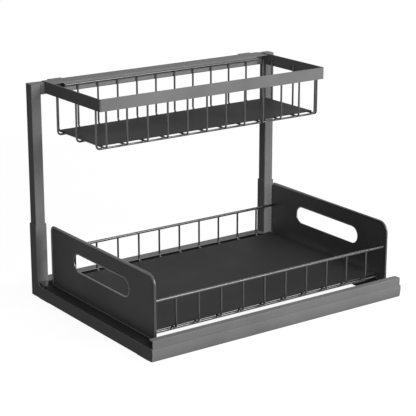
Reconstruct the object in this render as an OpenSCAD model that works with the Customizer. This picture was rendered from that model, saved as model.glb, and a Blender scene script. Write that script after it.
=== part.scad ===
// Two-tier pull-out cabinet basket: a standing frame with a drawer on ball
// slides at the bottom and a hanging basket at the top.
// Front is -Y, +X is to the right seen from the front, the floor is z = 0.

/* [Frame] */
// Overall width of the frame
frame_w = 420; // [400:1:440]
// Overall depth of the frame
frame_d = 313; // [303:1:330]
// Height of the top of the posts
frame_h = 306.4; // [300:0.1:330]
// Height of the top edge of the side rails
rail_h = 18.3; // [18:0.1:20]
// Sheet thickness of the rails and the crossbar
rail_t = 1.5; // [1.2:0.1:1.8]
// Width of the rails' bottom plates
rail_plate_w = 22; // [21.5:0.5:30]
// Radius of the inner corner between rail and post
ear_r = 10; // [6:0.5:14]
// Height of the rear crossbar
rear_bar_h = 24; // [22:0.5:28]
// Depth of the rear crossbar
rear_bar_d = 15; // [12:0.1:17]
// Radius of the gussets in the rear corners
gusset_r = 26; // [22:1:28]
// Thickness of the gussets
gusset_t = 1.5; // [1:0.1:2]
// Thickness of the foot pads
pad_t = 1; // [0.8:0.1:1.5]
// Length of a foot pad
pad_l = 26; // [20:1:30]
// Width of a foot pad
pad_w = 20; // [14:1:21]
// Distance of the front foot pads from the rail's front end
pad_front = 8; // [4:1:20]
// Distance of the rear foot pads from the sleeves
pad_back = 2; // [1:1:20]
// Radius of the floor screw holes
floor_hole_r = 2; // [1.7:0.05:2.1]
// Distance of the floor screw holes from the rail's outer face
floor_hole_in = 18; // [17.5:0.1:18.5]
// Distance of the front floor screw holes from the front
floor_hole_front = 110; // [100:1:130]
// Distance of the rear floor screw holes from the rear
floor_hole_back = 58; // [54:1:66]

/* [Posts] */
// Width of the post tubes
post_w = 15.3; // [14:0.1:16]
// Depth of the post tubes
post_d = 15.5; // [14:0.1:16]
// Wall of the post and crossbar tubes
post_wall = 1.2; // [1:0.1:1.5]
// Corner radius of the tubes
tube_r = 1.4; // [1.1:0.1:1.8]
// Inner corner radius of the tubes
tube_in_r = 0.4; // [0.1:0.1:0.8]
// Width of the lower sleeves
sleeve_w = 17.8; // [17:0.1:19]
// Depth of the lower sleeves
sleeve_d = 18.4; // [17.6:0.1:19.4]
// Corner radius of the sleeves
sleeve_r = 1.6; // [1.2:0.1:2.2]
// Height of the top of the sleeves
sleeve_h = 107; // [90:1:130]
// How far a post goes into its sleeve
post_insert = 60; // [40:1:70]
// Running gap around a post in its sleeve
post_gap = 0.05; // [0.03:0.01:0.1]
// Height of the grub screws below the sleeve's top
grub_drop = 27; // [15:1:35]
// Radius of the grub screws
grub_r = 2; // [1.5:0.1:2.5]
// Length of the grub screws
grub_l = 4.6; // [4:0.1:5]
// Depth of the grub screws' hexagon sockets
socket_depth = 2; // [1:0.1:2.5]

/* [Ball slides] */
// Height of the outer slide members
slide_h = 15; // [14.6:0.1:15.2]
// Width of a slide from rail to carriage
slide_w = 11.5; // [11:0.1:12.5]
// Gap in front of the slides
slide_nose = 2.5; // [2:0.5:10]
// Gap behind the slides
slide_tail = 3.3; // [2:0.1:20]
// Gap between a slide and the rail's bottom plate
slide_floor_gap = 0.5; // [0.3:0.1:0.8]
// Sheet thickness of the slide members
slide_t = 1; // [0.8:0.1:1.2]
// Thickness of the slide arms that hold the races
race_t = 1.3; // [1.2:0.05:1.5]
// Length of the slide arms of the outer members
arm_l = 7.1; // [6.6:0.1:7.5]
// Radius of the balls
ball_r = 1.5; // [1.4:0.05:1.55]
// Running gap between a ball and its races
ball_gap = 0.05; // [0.02:0.01:0.08]
// Distance of the ball rows from the rail
ball_in = 4.7; // [4.5:0.1:4.9]
// How far the inner members' arms reach past the balls' middles
arm_tip = 1.4; // [1.3:0.05:1.45]
// Depth of the gap that the retainer strip runs in
strip_gap = 2; // [1.8:0.05:2.2]
// Thickness of the ball retainers
strip_t = 0.8; // [0.6:0.1:1]
// Balls in each row
ball_count = 8; // [5:1:8]
// How much shorter the retainers are than the slides' overlap when open
retainer_slack = 3.5; // [1:0.5:10]
// Distance of the retainer strips from the outer members
strip_in = 0.7; // [0.5:0.1:0.9]
// Gap between a ball and its hole in the retainer
ball_hole_gap = 0.08; // [0.05:0.01:0.15]
// Travel of the drawer
travel = 200; // [160:1:200]
// Gap in front of the rubber bumpers
bumper_gap = 0.3; // [0.2:0.1:0.6]
// Length of the rubber bumpers
bumper_l = 5; // [4:0.5:5.5]

/* [Carriage] */
// Sheet thickness of the carriage shelves
shelf_t = 1.2; // [1:0.1:1.4]
// Gap between a rail's top edge and its shelf
shelf_gap = 0.5; // [0.3:0.1:1]
// Width of a shelf from the rail's outer face
shelf_w = 23.4; // [23.4:0.1:25]
// How far a shelf's edge is set in from the rail's outer face
shelf_inset = 0.8; // [0.4:0.1:1.4]
// Distance of a shelf's inner wall from the front bar
wall_front = 2; // [1.8:0.1:2.4]
// Gap between the carriage's webs and the rail's bottom plate
web_floor_gap = 1.5; // [1:0.1:2]
// Height of the rear stops of the shelves
stop_h = 8; // [5:0.5:12]
// Width of the rear stops of the shelves
stop_w = 9; // [5:0.5:9]
// Gap between a rear stop and the basket
stop_gap = 0.6; // [0.3:0.1:1]
// Radius of the slide rivets
rivet_r = 1.5; // [1.2:0.1:1.8]
// Radius of the rivet heads
rivet_head_r = 2.8; // [2.2:0.1:3]
// Radius of the flattened rivet tails
rivet_tail_r = 2.2; // [1.9:0.1:2.4]
// Gap between a rivet and its hole
rivet_gap = 0.05; // [0.03:0.01:0.1]
// Height of the rivet heads
rivet_head_h = 1; // [0.8:0.1:1.2]
// Distance between rivets
rivet_pitch = 86; // [70:1:90]

/* [Front bar] */
// Height of the crease in the front bar
crease_h = 18.3; // [17:0.1:20]
// Height of the top of the front bar
bar_h = 29.2; // [27:0.1:32]
// Thickness of the lower band of the front bar
bar_t = 2.3; // [2:0.1:2.6]
// How far the upper band is set back
bar_step = 1.1; // [0.9:0.05:1.2]
// Crown of the lower band
bar_crown = 0.8; // [0.5:0.05:0.9]
// Depth of the top flange
flange_d = 11.5; // [9:0.1:12]
// Thickness of the top flange
flange_t = 1.5; // [1.2:0.1:1.8]
// Corner radius of the top flange
flange_r = 4; // [2:0.5:6]
// How far the upper band is shorter at each end
band_inset = 1.3; // [0.8:0.1:2]
// Gap between the front bar and the floor
bar_floor_gap = 1; // [0.8:0.1:1.4]
// Gap between the front bar and the rails
bar_gap = 0.5; // [0.3:0.1:0.8]
// Radius of the welded studs
stud_r = 2; // [1.5:0.1:2.2]
// Gap between a stud and its hole in the shelf
stud_gap = 0.2; // [0.1:0.05:0.4]
// Length of the welded studs
stud_l = 8; // [6.5:0.5:10]
// Distance of the first stud from the rail's outer face
stud_in = 30; // [29.5:0.5:32]
// Distance between the two studs of a side
stud_pitch = 15; // [14:0.5:18]
// Width of the nuts across their flats
nut_w = 7; // [6:0.1:7.5]
// Height of the nuts
nut_h = 3.2; // [2.5:0.1:4]
// Gap between a nut and its stud
nut_gap = 0.05; // [0.03:0.01:0.1]

/* [Lower basket] */
// Distance of the side panels from the frame's outer faces
panel_in = 14.2; // [13.5:0.1:16]
// Distance of the side panels from the front
panel_front = 14.7; // [13:0.1:16]
// Distance of the side panels from the rear
panel_rear = 34.3; // [32:0.1:50]
// Height of the side panels
panel_h = 89.7; // [80:0.1:110]
// Sheet thickness of the side panels
panel_t = 1; // [0.8:0.1:1.4]
// Thickness of the rolled rim round a panel
rim_bead_t = 3; // [2.4:0.1:3.2]
// Width of the rolled rim round a panel
rim_bead_w = 3; // [2.4:0.1:3.2]
// Radius of the upper front corners of a panel
panel_r_front = 16; // [8:1:20]
// Radius of the upper rear corners of a panel
panel_r_back = 9; // [5:1:16]
// Radius of the lower front corners of a panel
panel_r_low = 8; // [4:1:10]
// Radius of the lower rear corners of a panel
panel_r_heel = 4; // [3.5:0.5:8]
// Length of the handle slots
slot_l = 139; // [120:1:150]
// Height of the handle slots
slot_h = 24.4; // [20:0.1:28]
// Distance from a panel's top edge to its slot
slot_drop = 24.3; // [22:0.1:30]
// Width of the collar round a slot
collar_w = 1.2; // [0.8:0.1:2]
// Thickness of the collar round a slot
collar_t = 2; // [1.6:0.1:2.2]
// Radius of the fence rails
rail_wire_r = 2; // [1.6:0.1:2.4]
// Height of the fence rails above the panels' bottom
fence_h = 53.5; // [44:0.5:60]
// Distance of the fences from the panels' ends
fence_in = 5.3; // [5.2:0.1:7]
// Radius of the basket wires
wire_r = 1.4; // [1.1:0.05:1.6]
// Bend radius of the basket wires
bend_r = 5; // [3.5:0.5:7]
// Number of cross wires of the lower basket
lower_wires = 10; // [6:1:12]
// Distance of the outer long wires from the bends
long_wire_in = 5.1; // [2.5:0.1:8]
// Distance between the two front long wires
long_wire_step = 10; // [5:0.5:15]
// Radius of the long wires
long_wire_r = 2; // [1.6:0.1:2.4]
// Gap between a long wire's ends and the panels
wire_end_gap = 1; // [0.3:0.1:2]
// Height of the long wires above the panels' bottom
long_wire_up = 6.9; // [5:0.1:9]
// Thickness of the floor sheets
floor_t = 1; // [0.8:0.1:1.4]
// Distance of the lower floor sheet from the front bends
floor_in = 3; // [0.5:0.1:8]
// Distance of the lower floor sheet from the rear bends
floor_back_in = 3.7; // [0.5:0.1:10]
// Gap between the lower floor sheet and the panels' rolled rims
floor_side_gap = 5.8; // [0.5:0.1:8]

/* [Upper basket] */
// Distance of the rim from the frame's outer faces
rim_in = 22.4; // [21:0.1:30]
// Distance of the rim from the front
rim_front = 151.4; // [120:0.1:170]
// Height of the rim strip
rim_h = 16.6; // [12:0.1:20]
// How far the rim stands above the posts
rim_over = 2.4; // [1.6:0.1:4]
// Thickness of the rim strip
rim_t = 2; // [1.5:0.1:2.4]
// Corner radius of the rim strip
rim_r = 3; // [2.5:0.1:5]
// Gap between the rim's ends and the crossbar
rim_gap = 0.3; // [0.2:0.1:0.8]
// Thickness of the hanger plate
hanger_t = 1.2; // [1:0.05:1.25]
// Depth of the hanger plate
hanger_d = 26; // [22:0.5:28]
// Distance of the hanger plate's front from the crossbar
hanger_reach = 14; // [10:0.5:18]
// Height of the hanger plate's front flange
hanger_flange_h = 12.6; // [9:0.1:16]
// How much shorter the front flange is at each side
hanger_flange_in = 20.6; // [10:0.1:30]
// Width of the hooks
hook_w = 21; // [15:0.5:28]
// Distance of the hooks from the ends of the plate
hook_in = 11.6; // [8:0.1:20]
// How far the hooks reach down behind the crossbar
hook_drop = 10.4; // [6:0.1:14]
// Gap between the hooks and the crossbar
hook_gap = 0.2; // [0.1:0.05:0.4]
// Radius of the rail wire along the front flange
hanger_wire_r = 1.8; // [1.5:0.1:2.2]
// Height of the hanger plate above that wire's middle
hanger_wire_drop = 4.2; // [3.5:0.1:5.5]
// Depth of the wire cage below the rim's top
cage_h = 68.6; // [60:0.1:90]
// How far the wires lap over the rim strip
wire_lap = 8; // [5:0.5:10]
// Number of cross wires of the upper basket
upper_wires = 12; // [8:1:14]
// Distance of the first cross wire from the rim's side
upper_wire_in = 11.1; // [9:0.1:14]
// Distance of the first side wire from the rim's front
side_wire_in = 16.6; // [14:0.1:20]
// Distance of the last side wire from the rear wires
side_wire_back = 11.65; // [10:0.05:20]
// Distance of the upper floor sheet from the rim
upper_floor_in = 8.6; // [8:0.1:12]
// Distance of the upper floor sheet from the front wires
upper_floor_front = 11.2; // [7:0.1:14]
// Distance of the upper floor sheet from the rear wires
upper_floor_back = 5.6; // [5:0.1:9]

/* [Hidden] */
$fn = 64;

frame_colour = "#55565a";
basket_colour = "#2a2a2c";
zinc_colour = "#b9bcc0";
rubber_colour = "#1c1c1c";
eps = 0.01;
cut = 1;

// Planes of the frame, all taken from its left, front and rear faces
x_out = -frame_w / 2;
y_front = -frame_d / 2;
y_back = frame_d / 2;
floor_top = pad_t + rail_t;
sleeve_front = y_back - sleeve_d;
sleeve_in_x = x_out + sleeve_w;
bar_edge = y_back - rear_bar_d;
post_x = x_out + (sleeve_w - post_w) / 2;
post_front = y_back - sleeve_d / 2 - post_d / 2;
post_back = post_front + post_d;
post_low = sleeve_h - post_insert;
grub_z = sleeve_h - grub_drop;
rail_front = y_front + bar_t + bar_gap;

// Ball slides: a race's middle is half the strip gap from each arm
slide_mid = floor_top + slide_floor_gap + slide_h / 2;
slide_x = x_out + rail_t;
race_up = slide_h / 2 - race_t - strip_gap / 2;
race_x = slide_x + ball_in;
race_r = ball_r + ball_gap;
slide_front = y_front + bar_t + shelf_t + slide_nose;
slide_back = sleeve_front - slide_tail - bumper_l - bumper_gap;
inner_x = race_x - arm_tip;
web_x = slide_x + slide_w;
slide_centre = (slide_front + slide_back) / 2;
retainer_l = slide_back - slide_front - travel - retainer_slack;
ball_pitch = retainer_l / (ball_count + 0.5);

// Carriage and front bar
shelf_low = rail_h + shelf_gap;
shelf_top = shelf_low + shelf_t;
panel_y = y_front + panel_front;
panel_back = y_back - panel_rear;
shelf_back = panel_back + stop_gap + shelf_t;
shelf_front = y_front + bar_t;
web_low = floor_top + web_floor_gap;
bar_back = y_front + bar_t;
stud_z = (web_low + shelf_low) / 2;

// Lower basket
bead_x = x_out + panel_in;
sheet_x = bead_x + (rim_bead_t - panel_t) / 2;
sheet_in_x = sheet_x + panel_t;
panel_top = shelf_top + panel_h;
slot_mid_z = panel_top - slot_drop - slot_h / 2;
fence_front = panel_y + fence_in;
fence_back = panel_back - fence_in;
fence_z = shelf_top + fence_h;
long_wire_z = shelf_top + long_wire_up;
cross_wire_z = long_wire_z + long_wire_r + wire_r;
lower_floor_z = cross_wire_z + wire_r;
lower_pitch = (frame_w - 2 * panel_in) / (lower_wires + 1);

// Upper basket
rim_x = x_out + rim_in;
rim_y = y_front + rim_front;
rim_top = frame_h + rim_over;
rim_low = rim_top - rim_h;
rim_back = post_front - rim_gap;
hanger_y = post_front - hanger_reach;
hanger_top = frame_h + hanger_t;
hanger_x = rim_x + rim_t;
hanger_wire_z = hanger_top - hanger_wire_drop;
flange_x = hanger_x + hanger_flange_in;
side_wire_z = rim_top - cage_h - wire_r;
upper_wire_z = side_wire_z + 2 * wire_r;
upper_floor_z = upper_wire_z + wire_r;
upper_front = rim_y + rim_t + wire_r;
upper_back = hanger_y - wire_r;
side_wire_x = rim_x + rim_t + wire_r;
upper_wire_x = rim_x + upper_wire_in;
upper_pitch = -2 * upper_wire_x / (upper_wires - 1);
side_wire_y = rim_y + side_wire_in;
side_wire_pitch = (upper_back - side_wire_back - side_wire_y) / 2;

// A profile drawn in X and Z, carried from y0 to y1
module along_y(y0, y1) {
    translate([0, y1, 0]) rotate([90, 0, 0]) linear_extrude(y1 - y0) children();
}

// A profile drawn in Y and Z, carried from x0 to x1
module along_x(x0, x1) {
    translate([x0, 0, 0]) rotate([90, 0, 90]) linear_extrude(x1 - x0) children();
}

// A block between two corners
module block(low, high) {
    translate(low) cube(high - low);
}

// A straight round bar along X
module rod_x(x0, x1, y, z, r) {
    translate([x0, y, z]) rotate([0, 90, 0]) cylinder(h = x1 - x0, r = r);
}

// A straight round bar along Y
module rod_y(x, y0, y1, z, r) {
    translate([x, y0, z]) rotate([-90, 0, 0]) cylinder(h = y1 - y0, r = r);
}

// The same piece on the right-hand side
module right() {
    mirror([1, 0, 0]) children();
}

module both_sides() {
    children();
    right() children();
}

// A rectangle with rounded corners from low to high
module round_rect(low, high, r) {
    size = high - low;
    translate(low + [r, 0]) square([size[0] - 2 * r, size[1]]);
    translate(low + [0, r]) square([size[0], size[1] - 2 * r]);
    for (u = [r, size[0] - r], v = [r, size[1] - r])
        translate(low + [u, v]) circle(r);
}

// What a corner of radius r loses: the corner is at the origin, inside is +, +
module corner_waste(r) {
    difference() {
        translate([-cut, -cut]) square(r + cut);
        translate([r, r]) circle(r);
    }
}

// A U of wire in the plane across `a` = 0: legs at u0 and u1, bottom at w
module u_wire(u0, u1, w, top0, top1) {
    start = w + bend_r;
    translate([0, u0, start]) cylinder(h = top0 - start, r = wire_r);
    translate([0, u1, start]) cylinder(h = top1 - start, r = wire_r);
    rod_y(0, u0 + bend_r, u1 - bend_r, w, wire_r);
    translate([0, u0 + bend_r, start]) rotate([0, 90, 0]) rotate([0, 0, -90])
        rotate_extrude(angle = 90) translate([bend_r, 0]) circle(wire_r);
    translate([0, u1 - bend_r, start]) rotate([0, 90, 0])
        rotate_extrude(angle = 90) translate([bend_r, 0]) circle(wire_r);
}

// ---- Frame ----

module rail_wall() {
    along_x(x_out, x_out + rail_t) {
        translate([rail_front, pad_t]) square([sleeve_front - rail_front, rail_h - pad_t]);
        difference() {
            translate([sleeve_front - ear_r, rail_h - eps]) square([ear_r, ear_r + eps]);
            translate([sleeve_front - ear_r, rail_h + ear_r]) circle(ear_r);
        }
    }
}

module rail() {
    color(frame_colour) {
        rail_wall();
        difference() {
            block([x_out, rail_front, pad_t], [x_out + rail_plate_w, sleeve_front, floor_top]);
            for (y = [y_front + floor_hole_front, y_back - floor_hole_back])
                translate([x_out + floor_hole_in, y, 0]) cylinder(h = floor_top + cut, r = floor_hole_r);
        }
    }
}

module side_rail_left() rail();
module side_rail_right() right() rail();

module rear_crossbar() {
    color(frame_colour) along_x(sleeve_in_x, -sleeve_in_x) difference() {
        translate([bar_edge, pad_t]) square([rear_bar_d, rear_bar_h - pad_t]);
        translate([bar_edge - cut, floor_top])
            square([rear_bar_d - rail_t + cut, rear_bar_h - rail_t - floor_top]);
    }
}

module corner_gussets() {
    inner = x_out + rail_t;
    color(frame_colour) both_sides() translate([0, 0, rear_bar_h - gusset_t])
        linear_extrude(gusset_t) difference() {
            union() {
                translate([inner, sleeve_front - gusset_r]) square(gusset_r);
                translate([sleeve_in_x, sleeve_front - eps])
                    square([inner + gusset_r - sleeve_in_x, bar_edge - sleeve_front + eps]);
            }
            translate([inner + gusset_r, sleeve_front - gusset_r]) circle(gusset_r);
        }
}

module sleeve() {
    seat = post_low;
    color(frame_colour) difference() {
        translate([0, 0, pad_t]) linear_extrude(sleeve_h - pad_t)
            round_rect([x_out, sleeve_front], [sleeve_in_x, y_back], sleeve_r);
        translate([0, 0, seat]) linear_extrude(sleeve_h)
            round_rect([post_x - post_gap, post_front - post_gap],
                [post_x + post_w + post_gap, post_back + post_gap], tube_r);
        translate([0, 0, floor_top]) linear_extrude(seat)
            round_rect([post_x + post_wall, post_front + post_wall],
                [post_x + post_w - post_wall, post_back - post_wall], tube_r);
        rod_y(post_x + post_w / 2, post_back - post_wall, y_back + cut, grub_z, grub_r + post_gap);
    }
}

module post_sleeve_left() sleeve();
module post_sleeve_right() right() sleeve();

module post() {
    color(frame_colour) difference() {
        translate([0, 0, post_low]) linear_extrude(frame_h - post_low)
            round_rect([post_x, post_front], [post_x + post_w, post_back], tube_r);
        translate([0, 0, post_low - cut]) linear_extrude(frame_h - post_low - post_wall + cut)
            round_rect([post_x + post_wall, post_front + post_wall],
                [post_x + post_w - post_wall, post_back - post_wall], tube_in_r);
        rod_y(post_x + post_w / 2, post_back - 3 * post_wall, y_back, grub_z, grub_r + post_gap);
    }
}

module post_left() post();
module post_right() right() post();

module top_crossbar() {
    end_x = post_x + post_w;
    low = frame_h - post_d;
    color(frame_colour) along_x(end_x, -end_x) difference() {
        round_rect([post_front, low], [post_back, frame_h], tube_r);
        round_rect([post_front + post_wall, low + post_wall],
            [post_back - post_wall, frame_h - post_wall], tube_in_r);
    }
}

module post_grub_screws() {
    color(zinc_colour) both_sides() difference() {
        rod_y(post_x + post_w / 2, y_back - post_gap - grub_l, y_back - post_gap, grub_z, grub_r);
        translate([post_x + post_w / 2, y_back - socket_depth, grub_z]) rotate([-90, 0, 0])
            cylinder(h = socket_depth + cut, r = grub_r / 2, $fn = 6);
    }
}

module foot_pads() {
    pad_x = x_out + (rail_plate_w - pad_w) / 2;
    color(rubber_colour) both_sides()
        for (y = [rail_front + pad_front, sleeve_front - pad_back - pad_l])
            block([pad_x, y, 0], [pad_x + pad_w, y + pad_l, pad_t]);
}

// ---- Ball slides ----

// The two race grooves, for an arm above and an arm below the middle
module races() {
    for (side = [-1, 1]) translate([race_x, slide_mid + side * race_up]) circle(race_r);
}

module slide_outer() {
    color(zinc_colour) along_y(slide_front, slide_back + bumper_gap + bumper_l) difference() {
        union() {
            translate([slide_x, slide_mid - slide_h / 2]) square([slide_t, slide_h]);
            for (z = [slide_mid - slide_h / 2, slide_mid + slide_h / 2 - race_t])
                translate([slide_x, z]) square([arm_l, race_t]);
        }
        races();
    }
}

module slide_outer_left() slide_outer();
module slide_outer_right() right() slide_outer();

module slide_bumpers() {
    bumper_x = slide_x + slide_t;
    half = race_up - strip_gap;
    color(rubber_colour) both_sides()
        block([bumper_x, slide_back + bumper_gap, slide_mid - half],
            [web_x - slide_t, slide_back + bumper_gap + bumper_l, slide_mid + half]);
}

module ball_retainer() {
    strip_x = slide_x + slide_t + strip_in;
    reach = race_up + strip_t / 2;
    color(zinc_colour) difference() {
        along_y(slide_centre - retainer_l / 2, slide_centre + retainer_l / 2) {
            translate([strip_x, slide_mid - reach]) square([strip_t, 2 * reach]);
            for (side = [-1, 1])
                translate([strip_x, slide_mid + side * race_up - strip_t / 2])
                    square([slide_x + arm_l - strip_x, strip_t]);
        }
        for (i = [0 : ball_count - 1])
            translate([race_x, ball_y(i), slide_mid - slide_h / 2])
                cylinder(h = slide_h, r = ball_r + ball_hole_gap);
    }
}

function ball_y(i) = slide_centre + (i - (ball_count - 1) / 2) * ball_pitch;

module ball_retainer_left() ball_retainer();
module ball_retainer_right() right() ball_retainer();

module bearing_balls() {
    color("silver") for (i = [0 : ball_count - 1], side = [-1, 1])
        translate([race_x, ball_y(i), slide_mid + side * race_up]) sphere(ball_r);
}

module bearing_balls_left() bearing_balls();
module bearing_balls_right() right() bearing_balls();

module slide_inner() {
    half = race_up - strip_gap / 2;
    color(zinc_colour) difference() {
        along_y(slide_front, slide_back) difference() {
            union() {
                translate([web_x - slide_t, slide_mid - half]) square([slide_t, 2 * half]);
                for (z = [slide_mid - half, slide_mid + half - race_t])
                    translate([inner_x, z]) square([web_x - inner_x, race_t]);
            }
            races();
        }
        rivet_shanks(rivet_r + rivet_gap);
    }
}

module slide_inner_left() slide_inner();
module slide_inner_right() right() slide_inner();

// ---- Carriage and front bar ----

module rivet_shanks(r) {
    for (i = [-1, 0, 1])
        rod_x(web_x - slide_t - cut, web_x + shelf_t + cut, slide_centre + i * rivet_pitch, slide_mid, r);
}

module slide_rivets() {
    color(zinc_colour) both_sides() for (i = [-1, 0, 1]) {
        y = slide_centre + i * rivet_pitch;
        rod_x(web_x - slide_t, web_x + shelf_t, y, slide_mid, rivet_r);
        rod_x(web_x - slide_t - rivet_head_h, web_x - slide_t, y, slide_mid, rivet_tail_r);
        rod_x(web_x + shelf_t, web_x + shelf_t + rivet_head_h, y, slide_mid, rivet_head_r);
    }
}

function stud_x(i) = x_out + stud_in + i * stud_pitch;

module carriage_shelf() {
    tab_end = stud_x(1) + stud_pitch / 2;
    stop_x = bead_x;
    wall_x = x_out + shelf_w;
    color(basket_colour) difference() {
        union() {
            block([x_out + shelf_inset, shelf_front, shelf_low], [wall_x, shelf_back, shelf_top]);
            block([web_x, shelf_front, web_low], [web_x + shelf_t, shelf_back, shelf_top]);
            block([web_x, shelf_front, web_low], [tab_end, shelf_front + shelf_t, shelf_top]);
            block([wall_x - shelf_t, shelf_front + wall_front, web_low],
                [wall_x, shelf_back, shelf_top]);
            block([stop_x, shelf_back - shelf_t, shelf_low],
                [stop_x + stop_w, shelf_back, shelf_top + stop_h]);
        }
        rivet_shanks(rivet_r + rivet_gap);
        for (i = [0, 1]) rod_y(stud_x(i), bar_back - cut, bar_back + shelf_t + cut, stud_z, stud_r + stud_gap);
    }
}

module carriage_shelf_left() carriage_shelf();
module carriage_shelf_right() right() carriage_shelf();

module front_bar() {
    band_h = crease_h - bar_floor_gap;
    crown_r = band_h * band_h / (8 * bar_crown) + bar_crown / 2;
    upper_x = x_out + band_inset;
    color(frame_colour) {
        along_x(x_out, -x_out) intersection() {
            translate([y_front, bar_floor_gap]) square([bar_t, band_h]);
            translate([y_front + crown_r, bar_floor_gap + band_h / 2]) circle(crown_r, $fn = 256);
        }
        block([upper_x, y_front + bar_step, crease_h - eps], [-upper_x, bar_back, bar_h - eps]);
        translate([0, 0, bar_h - flange_t]) linear_extrude(flange_t) difference() {
            translate([upper_x, y_front + bar_step])
                square([-2 * upper_x, flange_d - bar_step]);
            for (side = [0, 1]) mirror([side, 0])
                translate([upper_x, y_front + flange_d]) mirror([0, 1]) corner_waste(flange_r);
        }
        both_sides() for (i = [0, 1])
            rod_y(stud_x(i), bar_back - eps, bar_back + stud_l, stud_z, stud_r);
    }
}

module bar_nuts() {
    color(zinc_colour) both_sides() for (i = [0, 1])
        translate([stud_x(i), bar_back + shelf_t, stud_z]) rotate([-90, 0, 0]) difference() {
            cylinder(h = nut_h, r = nut_w / sqrt(3), $fn = 6);
            translate([0, 0, -cut]) cylinder(h = nut_h + 2 * cut, r = stud_r + nut_gap);
        }
}

// ---- Lower basket ----

// The outline of a side panel in Y and Z, drawn in by `inset`
module panel_outline(inset) {
    low = [panel_y + inset, shelf_top + inset];
    high = [panel_back - inset, panel_top - inset];
    difference() {
        translate(low) square(high - low);
        translate([low[0], high[1]]) mirror([0, 1]) corner_waste(panel_r_front - inset);
        translate(high) rotate(180) corner_waste(panel_r_back - inset);
        translate(low) corner_waste(panel_r_low - inset);
        translate([high[0], low[1]]) mirror([1, 0]) corner_waste(panel_r_heel - inset);
    }
}

// A handle slot with round ends, grown by `grow`
module slot_outline(grow) {
    mid = (panel_y + panel_back) / 2;
    half = slot_l / 2 - slot_h / 2;
    translate([mid - half, slot_mid_z - slot_h / 2 - grow]) square([2 * half, slot_h + 2 * grow]);
    for (side = [-1, 1]) translate([mid + side * half, slot_mid_z]) circle(slot_h / 2 + grow);
}

module panel() {
    mid_x = bead_x + rim_bead_t / 2;
    color(basket_colour) difference() {
        union() {
            along_x(sheet_x, sheet_in_x) panel_outline(0);
            along_x(bead_x, bead_x + rim_bead_t) difference() {
                panel_outline(0);
                panel_outline(rim_bead_w);
            }
            along_x(mid_x - collar_t / 2, mid_x + collar_t / 2) slot_outline(collar_w);
        }
        along_x(bead_x - cut, bead_x + rim_bead_t + cut) slot_outline(0);
    }
}

module lower_panel_left() panel();
module lower_panel_right() right() panel();

module lower_front_rail() {
    color(basket_colour) rod_x(sheet_in_x, -sheet_in_x, fence_front, fence_z, rail_wire_r);
}

module lower_rear_rail() {
    color(basket_colour) rod_x(sheet_in_x, -sheet_in_x, fence_back, fence_z, rail_wire_r);
}

module lower_cross_wires() {
    top = fence_z - rail_wire_r;
    color(basket_colour) for (i = [1 : lower_wires])
        translate([bead_x + i * lower_pitch, 0, 0])
            u_wire(fence_front, fence_back, cross_wire_z, top, top);
}

module lower_long_wires() {
    end_x = bead_x + rim_bead_t + wire_end_gap;
    front = fence_front + bend_r + long_wire_in;
    back = fence_back - bend_r - long_wire_in;
    color(basket_colour) for (y = [front, front + long_wire_step, (front + back) / 2, back])
        rod_x(end_x, -end_x, y, long_wire_z, long_wire_r);
}

module lower_floor() {
    edge = bead_x + rim_bead_t + floor_side_gap;
    color(basket_colour) block([edge, fence_front + bend_r + floor_in, lower_floor_z],
        [-edge, fence_back - bend_r - floor_back_in, lower_floor_z + floor_t]);
}

// ---- Upper basket ----

module upper_rim() {
    inner = [rim_x + rim_t, rim_y + rim_t];
    color(frame_colour) translate([0, 0, rim_low]) linear_extrude(rim_h) difference() {
        translate([rim_x, rim_y]) square([-2 * rim_x, rim_back - rim_y]);
        for (side = [0, 1]) mirror([side, 0]) translate([rim_x, rim_y]) corner_waste(rim_r);
        difference() {
            translate(inner) square([-2 * inner[0], rim_back - inner[1] + cut]);
            for (side = [0, 1]) mirror([side, 0]) translate(inner) corner_waste(rim_r - rim_t);
        }
    }
}

module upper_hanger_plate() {
    hook_x = hanger_x + hook_in;
    hook_back = post_back + hook_gap;
    color(frame_colour) {
        block([hanger_x, hanger_y, frame_h], [-hanger_x, hanger_y + hanger_d, hanger_top]);
        block([flange_x, hanger_y, hanger_top - hanger_flange_h],
            [-flange_x, hanger_y + hanger_t, hanger_top]);
        both_sides() {
            block([hook_x, hanger_y + hanger_d - cut, frame_h],
                [hook_x + hook_w, hook_back + hanger_t, hanger_top]);
            block([hook_x, hook_back, frame_h - hook_drop],
                [hook_x + hook_w, hook_back + hanger_t, hanger_top]);
        }
    }
}

module upper_rear_rail() {
    color(basket_colour)
        rod_x(flange_x, -flange_x, hanger_y - hanger_wire_r, hanger_wire_z, hanger_wire_r);
}

module upper_cross_wires() {
    color(basket_colour) for (i = [0 : upper_wires - 1])
        translate([upper_wire_x + i * upper_pitch, 0, 0])
            u_wire(upper_front, upper_back, upper_wire_z, rim_low + wire_lap,
                hanger_wire_z - hanger_wire_r);
}

module upper_side_wires() {
    color(basket_colour) for (i = [0 : 2])
        translate([0, side_wire_y + i * side_wire_pitch, 0]) rotate([0, 0, -90])
            u_wire(side_wire_x, -side_wire_x, side_wire_z, rim_low + wire_lap, rim_low + wire_lap);
}

module upper_floor() {
    edge = rim_x + upper_floor_in;
    color(basket_colour) block([edge, upper_front + upper_floor_front, upper_floor_z],
        [-edge, upper_back - upper_floor_back, upper_floor_z + floor_t]);
}

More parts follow.
